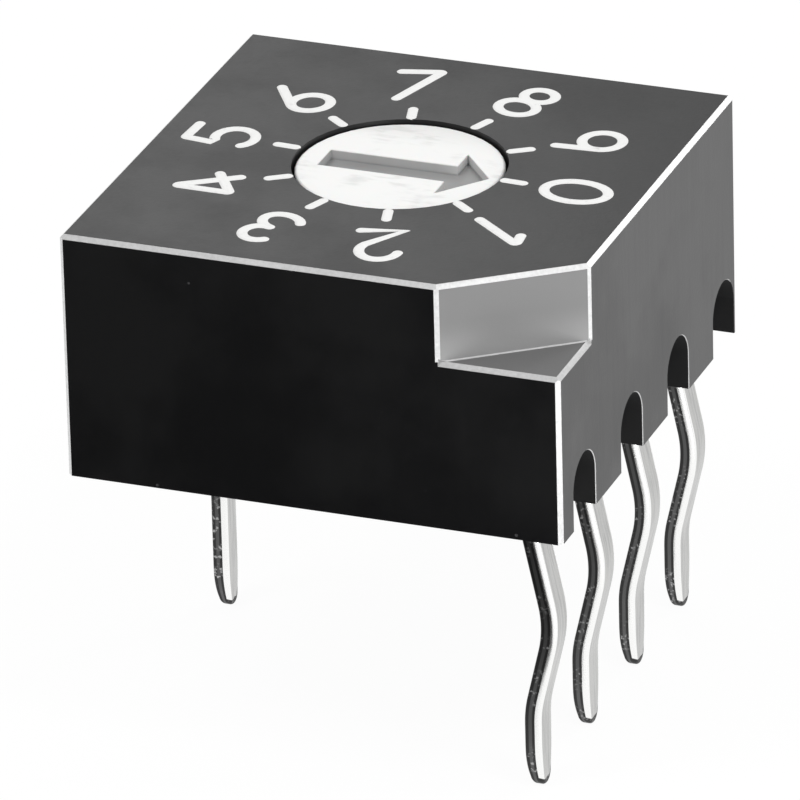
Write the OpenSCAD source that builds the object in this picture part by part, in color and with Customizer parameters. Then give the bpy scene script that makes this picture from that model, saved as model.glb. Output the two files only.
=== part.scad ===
// Ten-position rotary DIP switch, BCD coded, with four code terminals and one common.
// The origin is the middle of the body on the plane where its walls meet the circuit board.
// +Z is up, +X points to the row of four terminals, and the rotor's arrow rests at +X.

/* [Housing] */
// Width of the housing, from the common side to the code side
body_w = 9.55; // [9.3:0.05:10.2]
// Depth of the housing, from front to back
body_d = 9.55; // [9.5:0.05:10.2]
// Height of the housing above the board
body_h = 4.8; // [4.7:0.05:5.4]
// Break along the outer edges, except round the foot
edge_break = 0.08; // [0.04:0.01:0.14]

/* [Corner notch] */
// Length of the notch along the front wall
notch_w = 2.3; // [1.6:0.05:2.6]
// Length of the notch along the side wall
notch_d = 1.7; // [1.2:0.05:2.2]
// Depth of the notch below the top
notch_h = 1.5; // [0.8:0.05:1.8]
// Break along the notch's two upright edges, measured on each face
notch_break = 0.05; // [0.03:0.01:0.1]

/* [Wall slots] */
// Gap on either side of a code terminal in its arch slot
slot_gap = 0.26; // [0.2:0.01:0.28]
// Height of the arch's crown above the terminal that passes under it
slot_rise = 0.15; // [0.12:0.01:0.25]

/* [Terminals] */
// Distance between neighbouring terminals
pitch = 2.54; // [2.5:0.01:2.54]
// How far the middle of the row lies behind the middle of the body
row_offset = 0.25; // [0.2:0.01:0.27]
// Thickness of the strip that the terminals are stamped from
strip_t = 0.3; // [0.2:0.01:0.3]
// Width of a code terminal below its shoulder
pin_w = 0.65; // [0.55:0.05:0.7]
// Width of the common terminal below its shoulder
common_w = 0.55; // [0.5:0.05:0.7]
// Width of the tails that lie in the base
tail_w = 0.4; // [0.3:0.05:0.45]
// Height of the shoulder where a tail widens to the terminal
shoulder_z = 0.45; // [0.3:0.05:0.6]
// How far the tips reach below the body
pin_reach = 5.5; // [4.5:0.1:7]
// How far beside the base's pocket the terminals turn down
exit_gap = 0.33; // [0.3:0.01:0.45]
// Distance of the outward kink from the middle
kink_x = 4.2; // [4:0.05:4.4]
// How far the outward kink lies below the body
kink_drop = 2.2; // [1.8:0.1:2.4]
// Distance of the straight foot from the middle
foot_x = 3.8; // [3.75:0.05:3.95]
// How far the straight foot starts below the body
foot_drop = 3.9; // [3.6:0.1:4.1]
// Distance of the straight foot of the common terminal from the middle
common_foot_x = 4.3; // [4:0.05:4.4]
// Radius of the kinks
kink_r = 2.2; // [1:0.1:2.4]
// Radius of the bend between tail and terminal
bend_r = 0.25; // [0.2:0.01:0.28]

/* [Base] */
// Width of the base between the slots
base_w = 6.8; // [6.75:0.01:6.85]
// Height of the top of the base above the board
base_top = 1.15; // [1.1:0.01:1.18]
// Thickness of the base
base_t = 0.75; // [0.7:0.01:0.8]
// Plastic left beside the outermost tails
base_margin = 0.14; // [0.12:0.01:0.18]
// Corner radius of the base
base_r = 0.1; // [0.05:0.01:0.1]
// Thickness of the epoxy under the base
seal_t = 0.3; // [0.2:0.01:0.32]
// Height of the collar round the lower bearing
collar_h = 0.4; // [0.3:0.01:0.42]
// Radius of that collar
collar_r = 0.95; // [0.85:0.01:0.97]

/* [Rotor] */
// Radius of the rotor's head
head_r = 1.93; // [1.85:0.01:2.2]
// How far the head lies below the top of the housing
head_sink = 0.06; // [0.02:0.01:0.15]
// Radius of the flange that holds the detent balls
flange_r = 2.75; // [2.7:0.01:2.85]
// Height of the flange
flange_h = 1.4; // [1.3:0.01:1.45]
// Radius of the boss that drives the code disc
boss_r = 0.85; // [0.8:0.01:0.88]
// Distance from flat to flat on the boss
boss_flats = 1.24; // [1.1:0.02:1.4]
// Radius of the lower journal
journal_r = 0.6; // [0.5:0.01:0.62]
// Depth to which the journal enters the base
journal_depth = 0.5; // [0.4:0.01:0.55]

/* [Arrow] */
// Length of the arrow from tail to tip
arrow_l = 3.21; // [2.8:0.01:3.3]
// Distance of the tip from the rotor's axis
arrow_tip = 1.73; // [1.6:0.01:1.75]
// Width of the shaft
arrow_shaft_w = 0.71; // [0.5:0.01:0.9]
// Width of the head
arrow_head_w = 1.8; // [1.4:0.05:1.9]
// Length of the head
arrow_head_l = 0.74; // [0.6:0.01:1]
// Depth of the recess
arrow_depth = 0.2; // [0.15:0.01:0.42]

/* [Rotor seal] */
// Diameter of the rubber section
seal_section = 0.34; // [0.3:0.01:0.36]
// Height of the groove's lower edge above the flange
seal_rise = 0.28; // [0.25:0.01:0.3]

/* [Detent] */
// Radius of a detent ball
ball_r = 0.42; // [0.38:0.01:0.45]
// Distance of a ball's centre from the axis
ball_orbit = 2.56; // [2.5:0.01:2.56]
// Radius of the detent pocket at its crests
crest_r = 3; // [3:0.01:3.05]
// Depth of the scallops in the pocket's wall
scallop_depth = 0.12; // [0.06:0.01:0.16]
// Radius of each scallop
scallop_r = 0.5; // [0.45:0.01:0.6]
// Number of positions
positions = 10; // [10:1:10]
// Diameter of the spring's wire
wire_d = 0.11; // [0.08:0.01:0.12]
// Mean radius of the spring's turns
spring_r = 0.31; // [0.28:0.01:0.32]
// Number of turns of the spring
spring_turns = 16; // [12:1:18]

/* [Code disc] */
// Radius of the code disc
disc_r = 3; // [2.95:0.01:3.1]
// Thickness of the code disc
disc_t = 0.38; // [0.35:0.01:0.4]
// Thickness of the shorting plate
plate_t = 0.1; // [0.08:0.01:0.12]
// How far the code arcs stand below the disc
arc_proud = 0.04; // [0.02:0.01:0.06]
// Radius of the common track
common_track_r = 1.15; // [1.13:0.01:1.17]
// Distance from one track to the next
track_step = 0.4; // [0.39:0.01:0.42]
// Width of a track
track_w = 0.28; // [0.22:0.01:0.3]

/* [Contact springs] */
// Thickness of the leaf
leaf_t = 0.08; // [0.06:0.01:0.1]
// Width of the leaf
leaf_w = 0.28; // [0.2:0.01:0.3]
// Height of the contact crest above the base
leaf_rise = 0.48; // [0.45:0.01:0.55]
// Distance of the outer end of the leaf from its tip line
leaf_l = 1.55; // [1.5:0.01:1.56]
// Length of the flat stretch that is welded to the tail
weld_l = 0.4; // [0.35:0.01:0.45]
// Radius of the contact crest
crest_bend_r = 0.3; // [0.2:0.01:0.35]

/* [Clearances] */
// Gap between pieces that are fixed together
fit_gap = 0.02; // [0.01:0.005:0.03]
// Radial gap of the rotor in its bearings
run_gap = 0.05; // [0.03:0.005:0.06]
// Radial gap round the rotor's head
head_gap = 0.06; // [0.05:0.005:0.1]
// Gap between the turning code and the fixed springs
sweep_gap = 0.03; // [0.02:0.005:0.05]
// Gap round the outside of the turning disc
disc_gap = 0.35; // [0.3:0.01:0.35]

/* [Hidden] */

$fn = 64;
// Surplus length of a cutting tool beyond what it cuts
over = 1;
// Steps along each rounded corner of a strip
arc_steps = 8;

black = "#1c1c1e";
white = "#f2f2f0";
tin = "#c9cbcc";
gold = "#d8b45c";

// Heights that follow from the stack of pieces, from the base up to the roof
crest_z = base_top + leaf_rise;
arc_z = crest_z + sweep_gap;
disc_z = arc_z + arc_proud;
disc_top = disc_z + disc_t;
flange_z = disc_top + fit_gap;
flange_top = flange_z + flange_h;
roof_z = flange_top + run_gap;
head_top = body_h - head_sink;
plate_top = disc_top;
plate_z = plate_top - plate_t;
base_z = base_top - base_t;
base_d = 3 * pitch + tail_w + 2 * base_margin;
detent_z = (flange_z + flange_top) / 2;
pocket_z = detent_z - ball_r - run_gap;
journal_z = base_top - journal_depth;
boss_z = disc_z;

// The slots clear the terminals, which turn down inside them
slot_w = pin_w + 2 * slot_gap;
slot_h = base_top + slot_rise;
exit_x = base_w / 2 + exit_gap;

// Radii of the bores that the turning pieces run in
head_bore_r = head_r + head_gap;
disc_bore_r = disc_r + disc_gap;
journal_bore_r = journal_r + run_gap;
ball_bore_r = ball_r + fit_gap;

// The seal stands just clear of the bore, and its groove just clears the seal
seal_ring_r = head_bore_r - 2 * fit_gap - seal_section / 2;
groove_r = seal_ring_r - seal_section / 2 - fit_gap;
groove_h = seal_section + 2 * fit_gap;
groove_z = flange_top + seal_rise;

// Places of the code terminals along the row, front to back
function row_y(i) = row_offset + (i - 1.5) * pitch;
// Row place and track of each weight. Tracks count outward from the common one.
weights = [1, 2, 4, 8];
tracks = [2, 4, 3, 1];
// Line across the part on which the common terminal stands, opposite the third of the row
common_y = row_y(2);

function track_r(i) = common_track_r + i * track_step;
// Front leaves reach their tracks from -Y, the others from +Y
function leaf_side(y) = y < 0 ? -1 : 1;

function unit(v) = v / norm(v);
function turned(v, a) = [v[0] * cos(a) - v[1] * sin(a), v[0] * sin(a) + v[1] * cos(a)];

// Points of the arc of radius r that rounds corner b between a and c
function rounded_corner(a, b, c, r) =
    let (u = unit(a - b), v = unit(c - b), half = acos(u * v) / 2)
    let (centre = b + unit(u + v) * r / sin(half))
    let (first = b + u * r / tan(half) - centre, side = sign(cross(-u, v)))
    [for (i = [0 : arc_steps]) centre + turned(first, side * (180 - 2 * half) * i / arc_steps)];

// A bent line through points p, with its inner corners rounded to the radii r
function rounded_path(p, r) = [
    p[0],
    for (i = [1 : len(p) - 2]) each rounded_corner(p[i - 1], p[i], p[i + 1], r[i - 1]),
    p[len(p) - 1]
];

// Direction across a path at point i, and how far an edge there stands off for a strip of width 1
function across(p, i) =
    let (before = unit(p[max(i, 1)] - p[max(i, 1) - 1]))
    let (after = unit(p[min(i, len(p) - 2) + 1] - p[min(i, len(p) - 2)]))
    let (along = unit(before + after))
    turned(along, 90) / (along * before);

// Outline of a strip of thickness t along a path
function strip_outline(p, t) = concat(
    [for (i = [0 : len(p) - 1]) p[i] + across(p, i) * t / 2],
    [for (i = [len(p) - 1 : -1 : 0]) p[i] - across(p, i) * t / 2]
);

module rounded_rect(w, d, r) {
    square([w - 2 * r, d], center = true);
    square([w, d - 2 * r], center = true);
    for (x = [-1, 1], y = [-1, 1])
        translate([x * (w / 2 - r), y * (d / 2 - r)]) circle(r);
}

// Rectangle whose four corners are cut off at 45 degrees
module chamfered_rect(w, d, c) {
    polygon([
        for (q = [[1, 1], [-1, 1], [-1, -1], [1, -1]])
            let (flip = q[0] * q[1] > 0, a = [w / 2, d / 2 - c], b = [w / 2 - c, d / 2])
            each [for (v = flip ? [a, b] : [b, a]) [q[0] * v[0], q[1] * v[1]]]
    ]);
}

// Lays a shape drawn in X and Z across the part, w wide in Y
module across_y(w) {
    rotate([90, 0, 0]) linear_extrude(height = w, center = true) children();
}

// Lays a shape drawn in Y and Z across the part, w wide in X
module across_x(w) {
    rotate([90, 0, 90]) linear_extrude(height = w, center = true) children();
}

// Block of the housing with its top and upright edges broken, and sharp round the foot
module housing_block() {
    intersection() {
        linear_extrude(height = body_h) chamfered_rect(body_w, body_d, edge_break);
        across_y(body_d + over) chamfered_rect(body_w, 2 * body_h, edge_break);
        across_x(body_w + over) chamfered_rect(body_d, 2 * body_h, edge_break);
    }
}

// Corner step with a slanted wall. Its two upright edges are broken from a to b and from c to d.
module corner_notch() {
    along = unit([notch_w, notch_d]);
    a = [-notch_w - notch_break, 0];
    b = [-notch_w, 0] + notch_break * along;
    c = [0, notch_d] - notch_break * along;
    d = [0, notch_d + notch_break];
    reach = over / notch_break / 2;
    first = a + (a - b) * reach;
    last = d + (d - c) * reach;
    translate([body_w / 2, -body_d / 2, body_h - notch_h])
        linear_extrude(height = notch_h + over)
            polygon([first, b, c, last, [over, last[1]], [over, -over], [first[0], -over]]);
}

// Bar that breaks the level edge between p and q at 45 degrees. It runs on past p or q by the given lengths.
module edge_bar(p, q, before, after) {
    side = edge_break * sqrt(2);
    turn = atan2(q[1] - p[1], q[0] - p[0]);
    translate(p) rotate([0, 0, turn]) rotate([45, 0, 0]) translate([-before, -side / 2, -side / 2])
        cube([norm(q - p) + before + after, side, side]);
}

// Breaks along the notch's level edges: over its slanted wall, and along the front and the side of its floor
module notch_breaks() {
    corner = [body_w / 2, -body_d / 2];
    foot = corner - [notch_w, 0];
    head = corner + [0, notch_d];
    floor_z = body_h - notch_h;
    edge_bar([foot[0], foot[1], body_h], [head[0], head[1], body_h], over, over);
    edge_bar([foot[0], foot[1], floor_z], [corner[0], corner[1], floor_z], 0, over);
    edge_bar([corner[0], corner[1], floor_z], [head[0], head[1], floor_z], over, 0);
}

// Arch slot through a side wall, open at the foot of the wall
module wall_slot(side, y) {
    depth = body_w / 2 - base_w / 2 + fit_gap;
    translate([side * (base_w / 2 - fit_gap + (depth + over) / 2), y, 0]) across_x(depth + over) {
        translate([-slot_w / 2, -over]) square([slot_w, slot_h - slot_w / 2 + over]);
        translate([0, slot_h - slot_w / 2]) circle(d = slot_w);
    }
}

// Outline of the base, centred on the row of terminals and grown by g all round
module base_outline(g) {
    translate([0, row_offset]) rounded_rect(base_w + 2 * g, base_d + 2 * g, base_r + g);
}

// Round pocket with one scallop in its wall for each position
module detent_outline() {
    circle(crest_r);
    for (i = [0 : positions - 1])
        rotate(i * 360 / positions)
            translate([crest_r + scallop_depth - scallop_r, 0]) circle(scallop_r);
}

module housing() {
    color(black) difference() {
        housing_block();
        corner_notch();
        notch_breaks();
        translate([0, 0, -over]) linear_extrude(height = base_top + over) base_outline(0);
        translate([0, 0, base_top - fit_gap]) cylinder(r = disc_bore_r, h = pocket_z - base_top + fit_gap);
        translate([0, 0, pocket_z - fit_gap])
            linear_extrude(height = roof_z - pocket_z + fit_gap) detent_outline();
        translate([0, 0, roof_z - over]) cylinder(r = head_bore_r, h = body_h - roof_z + 2 * over);
        for (i = [0 : 3]) wall_slot(1, row_y(i));
        wall_slot(-1, common_y);
    }
}

// Plan of a terminal's tail: in from the wall, then along to the weld. Grown by g all round.
module tail_plan(side, y, leaf_x, g) {
    inner = leaf_side(y) * (leaf_l - weld_l);
    from_x = leaf_x - side * (tail_w / 2 + g);
    to_x = side * (base_w / 2 + fit_gap);
    translate([min(from_x, to_x), y - tail_w / 2 - g]) square([abs(to_x - from_x), tail_w + 2 * g]);
    translate([leaf_x - tail_w / 2 - g, min(y, inner) - (y < inner ? tail_w / 2 : 0) - g])
        square([tail_w + 2 * g, abs(y - inner) + tail_w / 2 + 2 * g]);
}

module base() {
    color(black) difference() {
        union() {
            translate([0, 0, base_z]) linear_extrude(height = base_t) base_outline(-fit_gap);
            translate([0, 0, base_top - over / 2]) cylinder(r = collar_r, h = collar_h + over / 2);
        }
        translate([0, 0, journal_z - run_gap])
            cylinder(r = journal_bore_r, h = journal_depth + collar_h + over);
        translate([0, 0, base_top - strip_t - fit_gap]) linear_extrude(height = strip_t + over) {
            for (i = [0 : 3]) tail_plan(1, row_y(i), track_r(tracks[i]), fit_gap);
            tail_plan(-1, common_y, -track_r(0), fit_gap);
        }
    }
}

module base_seal() {
    color("#2a2723") translate([0, 0, base_z - fit_gap - seal_t])
        linear_extrude(height = seal_t) base_outline(-fit_gap);
}

// Front view of a terminal: a neck, a shoulder and a round foot
module terminal_face(w) {
    translate([-tail_w / 2, 0]) square([tail_w, base_top + over]);
    translate([-w / 2, w / 2 - pin_reach]) square([w, pin_reach + shoulder_z - w / 2]);
    translate([0, w / 2 - pin_reach]) circle(d = w);
}

// A terminal bent from strip: path is its side view in X and Z, w its width below the shoulder
module terminal(side, y, leaf_x, w, path, radii) {
    color(tin) {
        intersection() {
            translate([0, y, 0]) across_y(w + over)
                polygon([for (q = strip_outline(rounded_path(path, radii), strip_t)) [side * q[0], q[1]]]);
            translate([side * exit_x, y, 0]) across_x(2 * over) terminal_face(w);
        }
        translate([0, 0, base_top - strip_t]) linear_extrude(height = strip_t)
            tail_plan(side, y, leaf_x, 0);
    }
}

// Start of every terminal's side view: out of the base and down through the slot
tail_start = [
    [base_w / 2 - 2 * strip_t, base_top - strip_t / 2],
    [exit_x, base_top - strip_t / 2],
    [exit_x, 0]
];

module code_terminal(i) {
    path = concat(tail_start, [[kink_x, -kink_drop], [foot_x, -foot_drop], [foot_x, -pin_reach]]);
    terminal(1, row_y(i), track_r(tracks[i]), pin_w, path, [bend_r, bend_r, kink_r, kink_r]);
}

module common_terminal() {
    path = concat(tail_start, [[common_foot_x, -kink_drop], [common_foot_x, -pin_reach]]);
    terminal(-1, common_y, -track_r(0), common_w, path, [bend_r, bend_r, kink_r]);
}

// Leaf spring welded to a tail, rising to its crest on the line Y = 0 under the code
module contact_leaf(leaf_x, side) {
    low = base_top + leaf_t / 2;
    high = crest_z - leaf_t / 2;
    lip = 2 * leaf_t;
    path = [[leaf_l, low], [leaf_l - weld_l, low], [0, high + leaf_t / 2], [-2 * lip, high - lip]];
    color(gold) translate([leaf_x, 0, 0]) across_x(leaf_w)
        polygon([
            for (q = strip_outline(rounded_path(path, [crest_bend_r, crest_bend_r]), leaf_t))
                [side * q[0], q[1]]
        ]);
}

module code_spring(i) {
    contact_leaf(track_r(tracks[i]), leaf_side(row_y(i)));
}

module arrow() {
    polygon([
        [arrow_tip - arrow_l, -arrow_shaft_w / 2],
        [arrow_tip - arrow_head_l, -arrow_shaft_w / 2],
        [arrow_tip - arrow_head_l, -arrow_head_w / 2],
        [arrow_tip, 0],
        [arrow_tip - arrow_head_l, arrow_head_w / 2],
        [arrow_tip - arrow_head_l, arrow_shaft_w / 2],
        [arrow_tip - arrow_l, arrow_shaft_w / 2]
    ]);
}

// Section of the rotor: journal, boss, flange and head with the groove of the seal
module rotor_section() {
    polygon([
        [0, journal_z],
        [journal_r, journal_z],
        [journal_r, boss_z + over / 10],
        [0, boss_z + over / 10]
    ]);
    polygon([
        [0, flange_z],
        [flange_r, flange_z],
        [flange_r, flange_top],
        [head_r, flange_top],
        [head_r, groove_z],
        [groove_r, groove_z],
        [groove_r, groove_z + groove_h],
        [head_r, groove_z + groove_h],
        [head_r, head_top - edge_break / 2],
        [head_r - edge_break / 2, head_top],
        [0, head_top]
    ]);
}

// Round bar with two flats, which turns the disc. Grown by g all round.
module drive_bar(g) {
    intersection() {
        circle(boss_r + g);
        square([2 * boss_r + over, boss_flats + 2 * g], center = true);
    }
}

module rotor() {
    color(white) difference() {
        union() {
            rotate_extrude() rotor_section();
            translate([0, 0, boss_z]) linear_extrude(height = flange_z - boss_z + over / 10) drive_bar(0);
        }
        translate([0, 0, detent_z]) rotate([0, 90, 0])
            cylinder(r = ball_bore_r, h = 2 * flange_r + over, center = true);
        translate([0, 0, head_top - arrow_depth]) linear_extrude(height = arrow_depth + over) arrow();
    }
}

module rotor_seal() {
    color("#101010") translate([0, 0, groove_z + groove_h / 2])
        rotate_extrude() translate([seal_ring_r, 0]) circle(d = seal_section);
}

module detent_ball(side) {
    color("silver") translate([side * ball_orbit, 0, detent_z]) sphere(r = ball_r);
}

// Place along the spring after u turns: the end turns lie close, the others share what is left
spring_half = ball_orbit - sqrt(ball_r * ball_r - spring_r * spring_r) - wire_d - fit_gap;
dead_pitch = 1.05 * wire_d;
live_pitch = (2 * spring_half - 2 * dead_pitch) / (spring_turns - 2);
function spring_x(u) =
    u < 1 ? -spring_half + dead_pitch * u
    : u > spring_turns - 1 ? spring_half - dead_pitch * (spring_turns - u)
    : -spring_half + dead_pitch + live_pitch * (u - 1);

module detent_spring() {
    turn_steps = 14;
    sides = 6;
    rings = spring_turns * turn_steps;
    points = [
        for (i = [0 : rings], j = [0 : sides - 1])
            let (a = i * 360 / turn_steps, b = j * 360 / sides, r = spring_r + wire_d / 2 * cos(b))
            [spring_x(i / turn_steps) + wire_d / 2 * sin(b), r * cos(a), r * sin(a)]
    ];
    skin = [
        for (i = [0 : rings - 1], j = [0 : sides - 1])
            let (k = (j + 1) % sides)
            [i * sides + j, i * sides + k, (i + 1) * sides + k, (i + 1) * sides + j]
    ];
    first = [for (j = [sides - 1 : -1 : 0]) j];
    last = [for (j = [0 : sides - 1]) rings * sides + j];
    color("silver") translate([0, 0, detent_z])
        polyhedron(points, concat(skin, [first, last]));
}

// Ring segment of track i between two angles, grown by g all round, h high
module track_arc(i, from, to, g, h) {
    widen = g / track_r(i) * 180 / PI;
    rotate_extrude(start = from - widen, angle = to - from + 2 * widen)
        translate([track_r(i) - track_w / 2 - g, 0]) square([track_w + 2 * g, h]);
}

// Whether the digit n has the bit of the given weight
function has_bit(n, weight) = floor(n / weight) % 2 == 1;
// Digit after the run of set bits that starts at n
function run_end(n, weight) = n < positions && has_bit(n, weight) ? run_end(n + 1, weight) : n;

// The BCD code: one arc for each run of digits that share a bit
module code_arcs(g, h) {
    step = 360 / positions;
    for (k = [0 : 3], n = [0 : positions - 1])
        if (has_bit(n, weights[k]) && (n == 0 || !has_bit(n - 1, weights[k])))
            track_arc(tracks[k], (n - 0.5) * step, (run_end(n, weights[k]) - 0.5) * step, g, h);
}

module code_disc() {
    inner_r = common_track_r + track_w / 2 + fit_gap;
    rim_r = disc_r - track_w / 2 + fit_gap;
    color("#6d5a3a") difference() {
        translate([0, 0, disc_z]) rotate_extrude()
            translate([inner_r, 0]) square([disc_r - inner_r, disc_t]);
        translate([0, 0, plate_z - fit_gap]) cylinder(r = rim_r, h = plate_t + over);
        translate([0, 0, disc_z - over]) code_arcs(fit_gap, disc_t + 2 * over);
    }
}

module shorting_plate() {
    rim_r = disc_r - track_w / 2;
    arc_h = plate_z - arc_z + plate_t / 2;
    color(gold) {
        difference() {
            union() {
                translate([0, 0, plate_z]) cylinder(r = rim_r, h = plate_t);
                translate([0, 0, arc_z]) code_arcs(0, arc_h);
                translate([0, 0, arc_z]) cylinder(r = common_track_r + track_w / 2, h = arc_h);
            }
            translate([0, 0, arc_z - over])
                cylinder(r = common_track_r - track_w / 2, h = plate_z - arc_z + over);
            translate([0, 0, arc_z]) linear_extrude(height = disc_t + over) drive_bar(fit_gap);
        }
    }
}

housing();
base();
base_seal();
rotor();
rotor_seal();
detent_spring();
detent_ball(1);  // detent_ball_head
detent_ball(-1);  // detent_ball_tail
code_disc();
shorting_plate();
code_terminal(0);  // terminal_1
code_terminal(1);  // terminal_2
code_terminal(2);  // terminal_4
code_terminal(3);  // terminal_8
common_terminal();  // terminal_common
code_spring(0);  // contact_spring_1
code_spring(1);  // contact_spring_2
code_spring(2);  // contact_spring_4
code_spring(3);  // contact_spring_8
contact_leaf(-track_r(0), 1);  // contact_spring_common
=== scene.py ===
"""Looks of a ten-position rotary DIP switch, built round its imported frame.

The housing, the rotor and the terminals are dressed pieces that stand for their solids.
The dial, its ticks and the potting are worked out here. Lengths are millimetres until a mesh is made.
"""

import logging
import math
from dataclasses import dataclass, field
from enum import Enum
from typing import Any, Callable, Mapping, Sequence, Union

import bmesh
import bpy
import numpy as np
from mathutils import Matrix, Vector


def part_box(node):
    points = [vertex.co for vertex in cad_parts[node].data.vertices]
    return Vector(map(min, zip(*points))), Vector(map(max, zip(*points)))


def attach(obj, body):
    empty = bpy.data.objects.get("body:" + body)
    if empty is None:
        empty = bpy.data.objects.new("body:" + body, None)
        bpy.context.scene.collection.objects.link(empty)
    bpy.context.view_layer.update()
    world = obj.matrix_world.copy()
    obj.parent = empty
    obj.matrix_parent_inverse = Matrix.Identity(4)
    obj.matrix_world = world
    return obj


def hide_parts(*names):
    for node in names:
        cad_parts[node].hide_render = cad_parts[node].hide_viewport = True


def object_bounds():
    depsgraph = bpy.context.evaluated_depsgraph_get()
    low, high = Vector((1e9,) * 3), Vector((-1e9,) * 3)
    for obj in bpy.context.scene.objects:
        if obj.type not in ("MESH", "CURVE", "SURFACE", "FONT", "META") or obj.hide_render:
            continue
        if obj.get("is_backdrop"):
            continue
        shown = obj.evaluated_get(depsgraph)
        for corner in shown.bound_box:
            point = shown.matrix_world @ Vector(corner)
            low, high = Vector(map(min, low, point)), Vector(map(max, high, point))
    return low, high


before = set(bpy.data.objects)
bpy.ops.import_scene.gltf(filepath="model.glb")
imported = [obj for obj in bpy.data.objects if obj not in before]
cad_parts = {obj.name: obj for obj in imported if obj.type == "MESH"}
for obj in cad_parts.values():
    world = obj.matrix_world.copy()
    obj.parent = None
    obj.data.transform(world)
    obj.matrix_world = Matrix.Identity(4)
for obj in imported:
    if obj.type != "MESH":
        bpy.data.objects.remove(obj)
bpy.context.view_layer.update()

LOG = logging.getLogger("rotary_switch")

MM = 0.001
# Corners nearer than this to each other are one, and a place nearer than the next to a plane lies on it.
SAME_CORNER = 1e-4 * MM
SAME_PLANE = 1e-3 * MM
# Faces of a solid that meet at less than this many degrees are one flat.
FLAT_BELOW = 0.5

WHITE = (1.0, 1.0, 1.0, 1.0)

Triple = tuple[float, float, float]
Colour = Triple
Number = Union[float, "Signal"]
Tint = Union[Colour, "Signal"]
EdgeTest = Callable[[Vector], bool]


class Body(Enum):
    """The two rigid bodies of the switch."""

    HOUSING = "housing"
    ROTOR = "rotor"


# Shader graphs


class Signal:
    """One output of a shader node. Arithmetic on it adds Math nodes."""

    def __init__(self, graph: "Graph", socket: Union[bpy.types.NodeSocket, None]) -> None:
        """Keeps the graph and the socket that carries the value."""
        self.graph = graph
        self.socket = socket

    def _math(self, operation: str, *values: Number) -> "Signal":
        """Adds one Math node on the given values."""
        return self.graph.node("ShaderNodeMath", {"operation": operation}, dict(enumerate(values)))

    def __add__(self, other: Number) -> "Signal":
        """Sum with a number or another signal."""
        return self._math("ADD", self, other)

    __radd__ = __add__

    def __sub__(self, other: Number) -> "Signal":
        """This signal less another."""
        return self._math("SUBTRACT", self, other)

    def __rsub__(self, other: Number) -> "Signal":
        """Another value less this signal."""
        return self._math("SUBTRACT", other, self)

    def __mul__(self, other: Number) -> "Signal":
        """Product with a number or another signal."""
        return self._math("MULTIPLY", self, other)

    __rmul__ = __mul__

    def __gt__(self, other: Number) -> "Signal":
        """One where this signal is the greater, else zero."""
        return self._math("GREATER_THAN", self, other)

    def __lt__(self, other: Number) -> "Signal":
        """One where this signal is the smaller, else zero."""
        return self._math("LESS_THAN", self, other)

    def smooth(self, low: float, high: float) -> "Signal":
        """Rises smoothly from zero at low to one at high."""
        values = {"Value": self, "From Min": low, "From Max": high}
        return self.graph.node("ShaderNodeMapRange", {"interpolation_type": "SMOOTHSTEP"}, values, "Result")


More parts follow.
